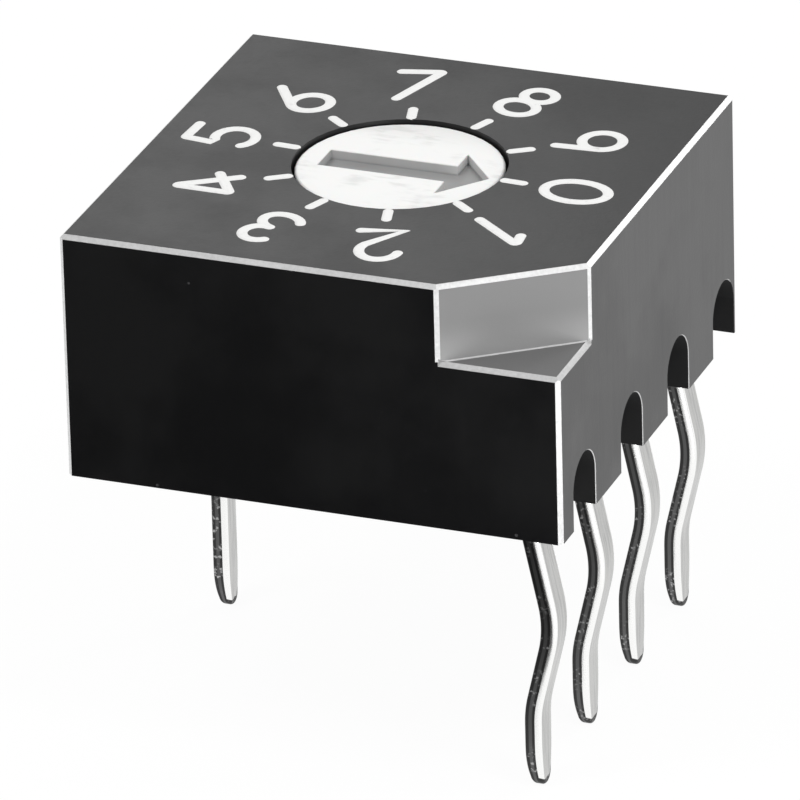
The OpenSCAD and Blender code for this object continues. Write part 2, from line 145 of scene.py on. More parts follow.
class Graph:
    """The node tree of a material or of the world, with short calls for the nodes that are used here."""

    def __init__(self, name: str, world: bool = False) -> None:
        """Makes a material or a world with an empty tree.

        Args:
            name: its name.
            world: whether it is a world.
        """
        self.owner = (bpy.data.worlds if world else bpy.data.materials).new(name)
        self.owner.use_nodes = True
        self.tree = self.owner.node_tree
        self.tree.nodes.clear()

    def node(
        self,
        kind: str,
        settings: Mapping[str, Any],
        inputs: Mapping[Union[int, str], Any],
        output: Union[int, str] = 0,
    ) -> Signal:
        """Adds one node.

        Args:
            kind: the node's type.
            settings: its properties, set first.
            inputs: values or signals for its input sockets, by number or name.
            output: the output socket that is handed back.

        Returns:
            The output as a signal.
        """
        made = self.tree.nodes.new(kind)
        for key, value in settings.items():
            setattr(made, key, value)
        for key, value in inputs.items():
            if isinstance(value, Signal):
                self.tree.links.new(value.socket, made.inputs[key])
            else:
                made.inputs[key].default_value = value
        return Signal(self, made.outputs[output] if made.outputs else None)

    def place(self, stretch: Triple = (1.0, 1.0, 1.0)) -> Signal:
        """Object coordinates in millimetres, stretched along each axis."""
        coordinates = self.node("ShaderNodeTexCoord", {}, {}, "Object")
        scale = tuple(s / MM for s in stretch)
        return self.node("ShaderNodeVectorMath", {"operation": "MULTIPLY"}, {0: coordinates, 1: scale})

    def axis(self, vector: Signal, letter: str) -> Signal:
        """One coordinate of a vector, by its letter X, Y or Z."""
        return self.node("ShaderNodeSeparateXYZ", {}, {0: vector}, letter)

    def noise(self, vector: Signal, scale: float, detail: float = 2.0, rough: float = 0.5) -> Signal:
        """Smooth noise between zero and one, with so many lumps to the millimetre."""
        values = {"Vector": vector, "Scale": scale, "Detail": detail, "Roughness": rough}
        return self.node("ShaderNodeTexNoise", {}, values, "Fac")

    def specks(self, vector: Signal, scale: float, size: float, share: float) -> Signal:
        """Small round spots in some of the cells of a Voronoi pattern.

        Args:
            vector: the place, in millimetres.
            scale: cells to the millimetre.
            size: radius of a spot, in cells.
            share: share of the cells that have one.

        Returns:
            One on a spot, else zero.
        """
        values = {"Vector": vector, "Scale": scale}
        distance = self.node("ShaderNodeTexVoronoi", {}, values, "Distance")
        chosen = self.node("ShaderNodeTexVoronoi", {}, values, "Color")
        lot = self.node("ShaderNodeSeparateColor", {}, {0: chosen}, 0)
        return (distance < size) * (lot < share)

    def mix(self, factor: Number, first: Tint, second: Tint) -> Signal:
        """Blends two colours by a factor."""
        start, end = (c if isinstance(c, Signal) else (*c, 1.0) for c in (first, second))
        return self.node("ShaderNodeMix", {"data_type": "RGBA"}, {0: factor, 6: start, 7: end}, 2)

    def mark(self, name: str) -> Signal:
        """A number kept on the mesh under that name."""
        return self.node("ShaderNodeAttribute", {"attribute_name": name}, {}, "Fac")

    def finish(
        self,
        colour: Signal,
        roughness: Signal,
        height: Signal,
        relief: float,
        fixed: Mapping[str, float] = {},
    ) -> bpy.types.Material:
        """Closes the tree with one Principled shader.

        Args:
            colour: its base colour.
            roughness: its roughness.
            height: the pattern that stands proud of the surface.
            relief: how many millimetres that pattern is high.
            fixed: further inputs, the same all over.

        Returns:
            The material.
        """
        normal = self.node("ShaderNodeBump", {}, {"Height": height, "Distance": relief * MM})
        inputs = {"Base Color": colour, "Roughness": roughness, "Normal": normal, **fixed}
        shader = self.node("ShaderNodeBsdfPrincipled", {}, inputs)
        self.node("ShaderNodeOutputMaterial", {}, {"Surface": shader})
        return self.owner


# Finishes


@dataclass(frozen=True)
class MouldedBlack:
    """Satin black plastic with faint mould texture, dust specks and scuffs, and a pale highlight painted
    along its broken edges.

    The faces of the notch have the coarser finish of a spark-eroded insert. They are painted a lighter grey
    for the light that falls on them, and the foot of their wall is painted lighter still against the shade
    of the notch's floor. The slots are matt inside.
    """

    name: str
    colour: Colour = (0.0045, 0.0045, 0.005)
    bloom: Colour = (0.016, 0.016, 0.016)
    bloom_share: float = 0.18
    # Notch faces, painted a lighter grey for the light that falls on them.
    coarse_painted_light: Colour = (0.205, 0.205, 0.205)
    # Foot of the notch wall, painted lighter still against the shade of the notch floor.
    foot_painted_light: Colour = (0.29, 0.29, 0.29)
    notch_floor: float = 3.3
    foot_light_reach: float = 0.8
    scuff: Colour = (0.05, 0.05, 0.052)
    scratch_share: float = 0.25
    dust_share: float = 0.7
    # Pale highlight painted along the broken edges.
    edge: Colour = (0.8, 0.8, 0.8)
    roughness: float = 0.3
    ior: float = 1.5
    relief: float = 0.0016

    def material(self) -> bpy.types.Material:
        """Builds the material. The mesh marks "edge" (painted edge highlight), "coarse_painted_light" (the
        notch, rough and painted lighter for light) and "matt" are above zero on those faces.

        Returns:
            The material.
        """
        g = Graph(self.name)
        place = g.place()
        edge, coarse_painted_light = g.mark("edge"), g.mark("coarse_painted_light")
        grain = g.noise(place, 14.0, 3.0, 0.6)
        cloud = g.noise(place, 0.5, 3.0)
        patches = g.noise(place, 0.33, 4.0, 0.6).smooth(0.4, 0.64)
        upright = g.noise(g.place((9.0, 9.0, 0.35)), 1.0, 2.0)
        scratches = g.noise(g.place((5.0, 0.6, 5.0)), 1.6, 4.0, 0.7).smooth(0.69, 0.75)
        dust = g.specks(place, 1.3, 0.045, 0.14)
        scratched = scratches * cloud.smooth(0.5, 0.65) * self.scratch_share
        worn = (scratched + dust * self.dust_share) * (1.0 - edge)
        plain = g.mix(patches * self.bloom_share, self.colour, self.bloom)
        # The foot of the notch wall is painted lighter, against the shade that the notch floor casts there.
        rise = g.axis(place, "Z").smooth(self.notch_floor + 0.02, self.notch_floor + self.foot_light_reach)
        foot_light_mask = (coarse_painted_light > 0.9) * (1.0 - rise)
        colour = g.mix(worn, g.mix(coarse_painted_light, plain, g.mix(foot_light_mask, self.coarse_painted_light, self.foot_painted_light)), self.scuff)
        polish = self.roughness + cloud * 0.04 + upright.smooth(0.4, 0.75) * 0.02 + patches * 0.06
        rough = polish + worn * 0.2 + coarse_painted_light * 0.5 + g.mark("matt") * 0.55
        # Painted highlight along the broken edges, broken up by the grain.
        edged = g.mix(edge * (0.6 + grain * 0.4), colour, self.edge)
        return g.finish(edged, rough, grain, self.relief, {"IOR": self.ior})


@dataclass(frozen=True)
class MattBlack:
    """Glass-filled black plastic of the base."""

    name: str
    colour: Colour = (0.012, 0.012, 0.013)
    fibre: Colour = (0.035, 0.034, 0.032)
    roughness: float = 0.75
    ior: float = 1.3
    relief: float = 0.004

    def material(self) -> bpy.types.Material:
        """Builds the material.

        Returns:
            The material.
        """
        g = Graph(self.name)
        fibres = g.noise(g.place((14.0, 2.0, 8.0)), 1.5, 3.0, 0.6)
        grain = g.noise(g.place(), 16.0, 3.0)
        colour = g.mix(fibres.smooth(0.5, 0.7), self.colour, self.fibre)
        return g.finish(colour, self.roughness + grain * 0.15, grain, self.relief, {"IOR": self.ior})


@dataclass(frozen=True)
class MouldedWhite:
    """Satin white plastic with shade painted below its top face, in the arrow's recess.

    The walls of the arrow's head are painted lighter than the other walls, and the top is greyer towards the
    back rim.
    """

    name: str
    top: float
    floor: float
    colour: Colour = (0.82, 0.82, 0.81)
    # Shade painted in the arrow's recess: on its floor, on its walls, and lighter on the walls of its head.
    recess_shade: Colour = (0.26, 0.26, 0.26)
    wall_shade: Colour = (0.36, 0.36, 0.36)
    head_wall_light: Colour = (0.5, 0.5, 0.5)
    head_wall_light_x: tuple[float, float] = (0.5, 1.1)
    smudge: Colour = (0.65, 0.65, 0.64)
    # The top greys towards the back rim between these y.
    back_grey_y: tuple[float, float] = (0.9, 1.9)
    lip: float = 0.02
    roughness: float = 0.38
    relief: float = 0.001
    glow: float = 0.06
    glow_reach: float = 0.25

    def material(self) -> bpy.types.Material:
        """Builds the material. Shade is painted on the walls below top, and darker on the floor.

        Returns:
            The material.
        """
        g = Graph(self.name)
        place = g.place()
        height = g.axis(place, "Z")
        # Painted shade in the arrow's recess, darker on the floor and lighter on the walls of the head.
        deep = (height < self.top - self.lip) * (height > self.floor - self.lip)
        wall = g.mix(g.axis(place, "X").smooth(*self.head_wall_light_x), self.wall_shade, self.head_wall_light)
        recess_shade = g.mix(height.smooth(self.floor + 0.01, self.floor + 0.05), self.recess_shade, wall)
        cloud = g.noise(place, 1.1, 3.0)
        smears = g.noise(g.place((2.0, 7.0, 2.0)), 1.0, 3.0)
        smudges = cloud.smooth(0.5, 0.66) * smears.smooth(0.42, 0.65)
        specks = g.specks(place, 1.7, 0.06, 0.2)
        grain = g.noise(place, 18.0, 2.0)
        # Greyer towards the back rim.
        back_grey = g.axis(place, "Y").smooth(*self.back_grey_y) * (0.25 + cloud * 0.5)
        worn = g.mix(smudges * 0.7 + specks * 0.5 + back_grey, self.colour, self.smudge)
        colour = g.mix(deep * (0.85 + cloud * 0.15), worn, recess_shade)
        fixed = {"Subsurface Weight": self.glow, "Subsurface Scale": self.glow_reach * MM}
        return g.finish(colour, self.roughness + cloud * 0.1, grain, self.relief, fixed)


@dataclass(frozen=True)
class PadPrint:
    """Opaque white ink with a slightly uneven surface."""

    name: str
    colour: Colour = (0.8, 0.8, 0.79)
    thin: Colour = (0.6, 0.6, 0.6)
    roughness: float = 0.5
    relief: float = 0.004

    def material(self) -> bpy.types.Material:
        """Builds the material.

        Returns:
            The material.
        """
        g = Graph(self.name)
        lumps = g.noise(g.place(), 9.0, 3.0, 0.6)
        colour = g.mix(lumps.smooth(0.56, 0.8) * 0.6, self.colour, self.thin)
        return g.finish(colour, self.roughness + lumps * 0.1, lumps, self.relief)


@dataclass(frozen=True)
class TinnedStrip:
    """Tin-plated strip whose bare cut edges are painted near black for shade, with light specks, and roll
    over to one face in a band that carries a painted highlight.
    """

    name: str
    plate: Colour = (0.54, 0.54, 0.53)
    tarnish: Colour = (0.38, 0.38, 0.38)
    # Painted highlight on the band where the edge rolls over.
    band_highlight: Colour = (0.97, 0.97, 0.96)
    # Cut edge: bare metal painted near black for shade, a little lighter along its torn middle.
    cut: Colour = (0.05, 0.05, 0.05)
    torn: Colour = (0.14, 0.14, 0.14)
    burr: Colour = (0.5, 0.5, 0.5)
    roughness: float = 0.2
    relief: float = 0.003

    def material(self) -> bpy.types.Material:
        """Builds the material.

        The mesh mark "cut" is one on the sheared edge and two along its torn middle; the sheared edge is
        painted dark for shade. "band" is one where the edge rolls over and a highlight is painted, and "rim"
        is above zero on the rim of the foot, which is painted dark for shade.

        Returns:
            The material.
        """
        g = Graph(self.name)
        place = g.place()
        # The foot's rim and the sheared edge are painted dark for shade.
        rim = g.mark("rim").smooth(-0.04, 0.04)
        edge, middle = g.mark("cut").smooth(0.35, 0.65), g.mark("cut").smooth(1.2, 1.9)
        cut = rim + edge * (1.0 - rim)
        band = g.mark("band").smooth(0.3, 0.7)
        drawn = g.noise(g.place((3.0, 11.0, 0.8)), 1.4, 3.0)
        cloud = g.noise(place, 1.3, 2.0)
        sparkle = g.noise(place, 15.0, 2.0).smooth(0.54, 0.72) * cloud.smooth(0.46, 0.6)
        shear = g.mix(middle * (0.4 + drawn), self.cut, self.torn)
        dulled = g.mix(drawn.smooth(0.42, 0.7) * 0.6 + cloud * 0.25, self.plate, self.tarnish)
        # The rolled band carries a painted highlight.
        plated = g.mix(band, dulled, self.band_highlight)
        colour = g.mix(cut, plated, g.mix(sparkle, shear, self.burr))
        rough = self.roughness + drawn * 0.1 + cut * 0.2
        return g.finish(colour, rough, drawn, self.relief, {"Metallic": 1.0})


@dataclass(frozen=True)
class Metal:
    """Bare or plated metal of the inner pieces."""

    name: str
    colour: Colour
    dull: Colour
    roughness: float
    relief: float = 0.002

    def material(self) -> bpy.types.Material:
        """Builds the material.

        Returns:
            The material.
        """
        g = Graph(self.name)
        lines = g.noise(g.place((12.0, 1.0, 3.0)), 1.6, 3.0, 0.6)
        colour = g.mix(lines.smooth(0.4, 0.8), self.colour, self.dull)
        return g.finish(colour, self.roughness + lines * 0.12, lines, self.relief, {"Metallic": 1.0})


@dataclass(frozen=True)
class Potting:
    """Dark cast resin with slow ripples, fine pits and a few bubbles."""

    name: str
    colour: Colour = (0.016, 0.014, 0.012)
    pale: Colour = (0.05, 0.045, 0.04)
    roughness: float = 0.2
    relief: float = 0.05

    def material(self) -> bpy.types.Material:
        """Builds the material.

        Returns:
            The material.
        """
        g = Graph(self.name)
        place = g.place()
        ripple = g.noise(place, 0.7, 3.0)
        bubbles = g.specks(place, 1.6, 0.12, 0.12)
        colour = g.mix(ripple.smooth(0.45, 0.75), self.colour, self.pale)
        return g.finish(colour, self.roughness + ripple * 0.12, ripple - bubbles * 0.2, self.relief)


@dataclass(frozen=True)
class Laminate:
    """Brown board material of the code disc, with its woven glass just visible."""

    name: str
    colour: Colour = (0.22, 0.15, 0.07)
    weave: Colour = (0.34, 0.25, 0.13)
    roughness: float = 0.45
    relief: float = 0.004

    def material(self) -> bpy.types.Material:
        """Builds the material.

        Returns:
            The material.
        """
        g = Graph(self.name)
        warp = g.noise(g.place((8.0, 1.5, 1.0)), 1.5, 1.0)
        weft = g.noise(g.place((1.5, 8.0, 1.0)), 1.5, 1.0)
        threads = (warp + weft) * 0.5
        colour = g.mix(threads.smooth(0.45, 0.62), self.colour, self.weave)
        return g.finish(colour, self.roughness + threads * 0.1, threads, self.relief)


@dataclass(frozen=True)
class Rubber:
    """Matt black rubber of the seal ring."""

    name: str
    colour: Colour = (0.018, 0.018, 0.018)
    bloom: Colour = (0.05, 0.05, 0.05)
    roughness: float = 0.6
    relief: float = 0.004

    def material(self) -> bpy.types.Material:
        """Builds the material.

        Returns:
            The material.
        """
        g = Graph(self.name)
        cloud = g.noise(g.place(), 2.5, 3.0)
        colour = g.mix(cloud.smooth(0.45, 0.8), self.colour, self.bloom)
        return g.finish(colour, self.roughness + cloud * 0.2, cloud, self.relief)


# Meshes


def make_piece(
    name: str,
    points: np.ndarray,
    faces: np.ndarray,
    material: bpy.types.Material,
    body: Body,
    smooth_below: float,
    marks: Mapping[str, np.ndarray] = {},
) -> bpy.types.Object:
    """Makes a closed, outward-facing piece from arrays.

    Args:
        name: the piece's name.
        points: corner places in millimetres, one row each.
        faces: corner numbers, one row for each face.
        material: its finish.
        body: the body that carries it.
        smooth_below: edges flatter than this many degrees are shaded smooth.
        marks: further numbers for each corner, kept on the mesh under their names.

    Returns:
        The object, at the origin.
    """
    mesh = bpy.data.meshes.new(name)
    mesh.from_pydata((points * MM).tolist(), [], faces.tolist())
    for key, numbers in marks.items():
        mesh.attributes.new(key, "FLOAT", "POINT").data.foreach_set("value", numbers.astype(np.float32))
    work = bmesh.new()
    work.from_mesh(mesh)
    bmesh.ops.remove_doubles(work, verts=work.verts, dist=SAME_CORNER)
    bmesh.ops.dissolve_degenerate(work, edges=work.edges, dist=SAME_CORNER)
    bmesh.ops.recalc_face_normals(work, faces=work.faces)
    work.to_mesh(mesh)
    work.free()
    return place_piece(mesh, name, material, body, smooth_below)


def place_piece(
    mesh: bpy.types.Mesh,
    name: str,
    material: bpy.types.Material,
    body: Body,
    smooth_below: float,
    flat_above: float = math.inf,
) -> bpy.types.Object:
    """Puts a finished mesh into the scene as a piece that rides on a body.

    Args:
        mesh: the mesh, in metres.
        name: the piece's name.
        material: its finish.
        body: the body that carries it.
        smooth_below: edges flatter than this many degrees are shaded smooth.
        flat_above: faces of more square millimetres than this are shaded flat.

    Returns:
        The object, at the origin.
    """
    mesh.shade_smooth()
    mesh.set_sharp_from_angle(angle=math.radians(smooth_below))
    mesh.polygons.foreach_set("use_smooth", [face.area <= flat_above * MM * MM for face in mesh.polygons])
    mesh.materials.clear()
    mesh.materials.append(material)
    piece = bpy.data.objects.new(name, mesh)
    bpy.context.scene.collection.objects.link(piece)
    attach(piece, body.value)
    LOG.info("%s: %d faces on %s", name, len(mesh.polygons), body.value)
    return piece


def grid_faces(rows: int, columns: int) -> np.ndarray:
    """Quads of a grid whose columns close in a ring. Corner (i, j) is number i * columns + j.

    Args:
        rows: how many rings the grid has.
        columns: how many corners a ring has.

    Returns:
        Four corner numbers for each face.
    """
    i, j = np.meshgrid(np.arange(rows - 1), np.arange(columns), indexing="ij")
    k = (j + 1) % columns
    corners = [i * columns + j, i * columns + k, (i + 1) * columns + k, (i + 1) * columns + j]
    return np.stack(corners, -1).reshape(-1, 4)


def level_rings(places: np.ndarray, heights: np.ndarray) -> tuple[np.ndarray, np.ndarray]:
    """Skin over a stack of level rings.

    Args:
        places: x and y of each corner, one row for each ring.
        heights: z of each ring.

    Returns:
        Its points and faces.
    """
    rows, columns = places.shape[:2]
    level = np.broadcast_to(heights[:, None, None], (rows, columns, 1))
    return np.concatenate([places, level], -1).reshape(-1, 3), grid_faces(rows, columns)


def softened_mesh(
    node: str,
    radius: float,
    segments: int,
    sharper_than: float,
    special: Sequence[tuple[EdgeTest, float]] = (),
) -> bpy.types.Mesh:
    """Copy of a solid's mesh with its flats joined and its edges rounded.

    Args:
        node: the solid that is copied.
        radius: radius of the rounding, in millimetres.
        segments: facets across the rounding.
        sharper_than: only edges that turn by more than this many degrees are rounded.
        special: tests of an edge's middle, each with the size of the chamfer that such edges get instead.

    Returns:
        A new mesh in metres.
    """
    work = bmesh.new()
    work.from_mesh(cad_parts[node].data)
    bmesh.ops.remove_doubles(work, verts=work.verts, dist=SAME_CORNER)
    bmesh.ops.dissolve_limit(work, angle_limit=math.radians(FLAT_BELOW), verts=work.verts, edges=work.edges)
    limit, done = math.radians(sharper_than), set()
    passes = [(test, size, 1) for test, size in special] + [(lambda middle: True, radius, segments)]
    for chosen, size, cuts in passes:
        edges = [
            e for e in work.edges
            if len(e.link_faces) == 2 and e.calc_face_angle(0.0) > limit and not done.issuperset(e.verts)
            and chosen((e.verts[0].co + e.verts[1].co) / 2)
        ]
        if edges:
            how = {"offset": size * MM, "segments": cuts, "profile": 0.5, "clamp_overlap": True}
            done.update(bmesh.ops.bevel(work, geom=edges, affect="EDGES", **how)["verts"])
    mesh = bpy.data.meshes.new(node)
    work.to_mesh(mesh)
    work.free()
    mesh.attributes.remove(mesh.attributes["custom_normal"])
    return mesh


def turned(arm: np.ndarray, angles: np.ndarray) -> np.ndarray:
    """An arm (x, y) turned by each angle a, in radians: (x cos a - y sin a, x sin a + y cos a)."""
    c, s = np.cos(angles), np.sin(angles)
    return np.stack([arm[0] * c - arm[1] * s, arm[0] * s + arm[1] * c], -1)


def rounded_path(points: Sequence[Sequence[float]], radii: Sequence[float], steps: int) -> np.ndarray:
    """A bent line whose inner corners are arcs. Each arc touches both legs, its centre on their bisector.

    Args:
        points: start, corners and end of the line.
        radii: radius of the arc at each corner.
        steps: how many chords each arc has.

    Returns:
        The line's points.
    """
    line = np.asarray(points, float)
    out = [line[:1]]
    for before, corner, after, radius in zip(line, line[1:], line[2:], radii):
        u, v = (before - corner), (after - corner)
        u, v = u / np.hypot(*u), v / np.hypot(*v)
        half = math.acos(float(np.clip(u @ v, -1.0, 1.0))) / 2
        middle = (u + v) / np.hypot(*(u + v))
        centre = corner + middle * radius / math.sin(half)
        spoke = corner + u * radius / math.tan(half) - centre
        turn = math.copysign(math.pi - 2 * half, v[0] * u[1] - v[1] * u[0])
        out.append(centre + turned(spoke, turn * np.linspace(0.0, 1.0, steps + 1)))
    out.append(line[-1:])
    return np.concatenate(out)


def arc(
    centre: Sequence[float], radius: Sequence[float], start: float, end: float, steps: int = 20
) -> np.ndarray:
    """Points of an elliptic arc from start to end, in degrees: centre plus radius times (cos, sin)."""
    a = np.radians(np.linspace(start, end, steps + 1))
    return np.asarray(centre) + np.stack([radius[0] * np.cos(a), radius[1] * np.sin(a)], -1)


def directions(line: np.ndarray, closed: bool) -> np.ndarray:
    """Unit direction of a line at each of its points, from the difference of its neighbours.

    Args:
        line: the line's points.
        closed: whether its last point is followed by its first.

    Returns:
        One direction for each point.
    """
    if closed:
        step = np.roll(line, -1, 0) - np.roll(line, 1, 0)
    else:
        step = np.gradient(line, axis=0)
    return step / np.hypot(step[:, 0], step[:, 1])[:, None]


@dataclass(frozen=True)
class Contour:
    """The ring of places round a stroke: a centre, an outward direction and a half width for each."""

    centre: np.ndarray
    outward: np.ndarray
    half_width: np.ndarray

    @staticmethod
    def round_line(line: np.ndarray, half_width: np.ndarray, cap_steps: int = 10) -> "Contour":
        """Goes up one side of an open line, round its end, down the other side and round its start.

        Args:
            line: the stroke's middle line.
            half_width: half the stroke's width at each point.
            cap_steps: how many steps each round end has.

        Returns:
            The contour.
        """
        along = directions(line, False)
        left = np.stack([-along[:, 1], along[:, 0]], -1)

        def cap(index: int, first: np.ndarray) -> tuple[np.ndarray, np.ndarray, np.ndarray]:
            """Half a turn of spokes round an end of the line, from the first one on."""
            spokes = turned(first, -np.pi * np.linspace(0, 1, cap_steps + 1)[1:-1])
            count = len(spokes)
            return np.repeat(line[index][None], count, 0), spokes, np.full(count, half_width[index])

        parts = [
            (line, left, half_width),
            cap(-1, left[-1]),
            (line[::-1], -left[::-1], half_width[::-1]),
            cap(0, -left[0]),
        ]
        return Contour(*(np.concatenate(group) for group in zip(*parts)))

    def shrunk(self, shares: np.ndarray) -> np.ndarray:
        """One ring for each share: centre + outward * half width * share."""
        return self.centre[None] + self.outward[None] * self.half_width[:, None] * shares[:, None, None]


# Pieces


@dataclass
class Shell:
    """The moulded housing, with its edges rounded a little more, its broken edges marked for a painted
    highlight and its notch marked to be painted lighter for light.

    The strengths say how strong the painted highlight on a broken edge is: most are 1, the thin ones and the
    slots' rims are less.
    """

    finish: MouldedBlack = MouldedBlack("black_moulding")
    edge_break: float = 0.08
    near_share: float = 0.75
    rounding: float = 0.012
    segments: int = 2
    sharper_than: float = 28.0
    smooth_below: float = 30.0
    slot_break: float = 0.045
    foot_break: float = 0.022
    slot_foot: float = 0.015
    slot_reach: float = 2.4
    slot_depth: float = 1.5
    slot_skin: float = 0.03
    corner_clear: float = 0.3
    notch_w: float = 2.3
    notch_d: float = 1.7
    notch_h: float = 1.5
    notch_clear: float = 0.1
    # Strength of the painted highlight on the thin edges and on the slots' rims.
    thin_strength: float = 0.65
    rim_strength: float = 0.75
    # Share of the notch's rough, lighter-painted finish on its floor.
    floor_coarse_painted_light: float = 0.71
    flat_above: float = 0.4

    def on_slot_rim(self, middle: Vector) -> bool:
        """Tells the edges round the mouths of the slots.

        Args:
            middle: an edge's middle, in metres.

        Returns:
            Whether it is one of them.
        """
        low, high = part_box("housing")
        outer = min(abs(middle.x - low.x), abs(middle.x - high.x)) < SAME_PLANE
        clear_of_corners = abs(middle.y) < high.y - self.corner_clear * MM
        return outer and clear_of_corners and self.slot_foot * MM < middle.z < self.slot_reach * MM

    def on_notch_foot(self, middle: Vector) -> bool:
        """Tells the edge where the notch's wall meets its floor.

        Args:
            middle: an edge's middle, in metres.

        Returns:
            Whether it is that one.
        """
        high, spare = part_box("housing")[1], self.notch_clear * MM
        inside = middle.x < high.x + spare - self.notch_w / 2 * MM and middle.y > spare - high.y
        at_floor = abs(middle.z - high.z + self.notch_h * MM) < SAME_PLANE
        return inside and at_floor and middle.x > 0 > middle.y

    def marks(self, places: np.ndarray, normals: np.ndarray) -> dict[str, np.ndarray]:
        """Marks the broken edges, which lie near two outer planes at once, the notch's faces and the slots.

        Args:
            places: centres of faces, in millimetres.
            normals: the faces' normals.

        Returns:
            One number for each place, for each mark.
        """
        low, high = (np.array(corner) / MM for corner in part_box("housing"))
        slant = np.array([self.notch_d, -self.notch_w]) / math.hypot(self.notch_w, self.notch_d)
        start = np.array([high[0] - self.notch_w, low[1]])
        beyond = (places[:, :2] - start) @ slant
        x, y, z = places.T
        close = self.near_share * self.edge_break
        notched = (beyond > -close) & (z > high[2] - self.notch_h - self.edge_break)
        side = np.minimum(np.abs(x - low[0]), np.abs(x - high[0]))
        left, right = np.abs(x - low[0]) < close, np.abs(x - high[0]) < close
        front, back = np.abs(y - low[1]) < close, np.abs(y - high[1]) < close
        top = np.abs(z - high[2]) < close
        floor = notched & (np.abs(z - high[2] + self.notch_h) < close)
        wall = notched & (np.abs(beyond) < close)
        edge = np.sum([left, right, front, back, top, floor, wall], 0) >= 2
        slotted = (z < self.slot_reach) & (z > self.slot_foot)
        sloping = (np.abs(normals[:, 0]) < 0.98) & (normals[:, 1] < 0.25)
        rim = slotted & sloping & (side < 0.8 * self.slot_break)
        # Strength of the painted edge highlight: first on the slots' rims, then on the broken edges.
        strength = np.where(rim & ~front & ~back, self.rim_strength, 0.0)
        strength = np.where(edge, np.where(floor | (front & top), self.thin_strength, 1.0), strength)
        # The notch's faces, rougher and painted lighter for light; the floor less so.
        coarse_painted_light = np.where(wall, 1.0, np.where(floor, self.floor_coarse_painted_light, 0.0)) * ~edge
        matt = slotted & (side > self.slot_skin) & (side < self.slot_depth) & ~rim & ~edge
        named = {"edge": strength, "coarse_painted_light": coarse_painted_light, "matt": matt}
        return {name: numbers.astype(np.float32) for name, numbers in named.items()}

    def build(self) -> None:
        """Makes the shell in place of the housing."""
        special = [(self.on_slot_rim, self.slot_break), (self.on_notch_foot, self.foot_break)]
        mesh = softened_mesh("housing", self.rounding, self.segments, self.sharper_than, special)
        centres, normals = (np.empty((len(mesh.polygons), 3), np.float32) for _ in range(2))
        mesh.polygons.foreach_get("center", centres.reshape(-1))
        mesh.polygons.foreach_get("normal", normals.reshape(-1))
        for name, numbers in self.marks(centres / MM, normals).items():
            mesh.attributes.new(name, "FLOAT", "FACE").data.foreach_set("value", numbers)
        piece = place_piece(
            mesh, "housing_shell", self.finish.material(), Body.HOUSING, self.smooth_below, self.flat_above
        )
        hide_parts("housing")


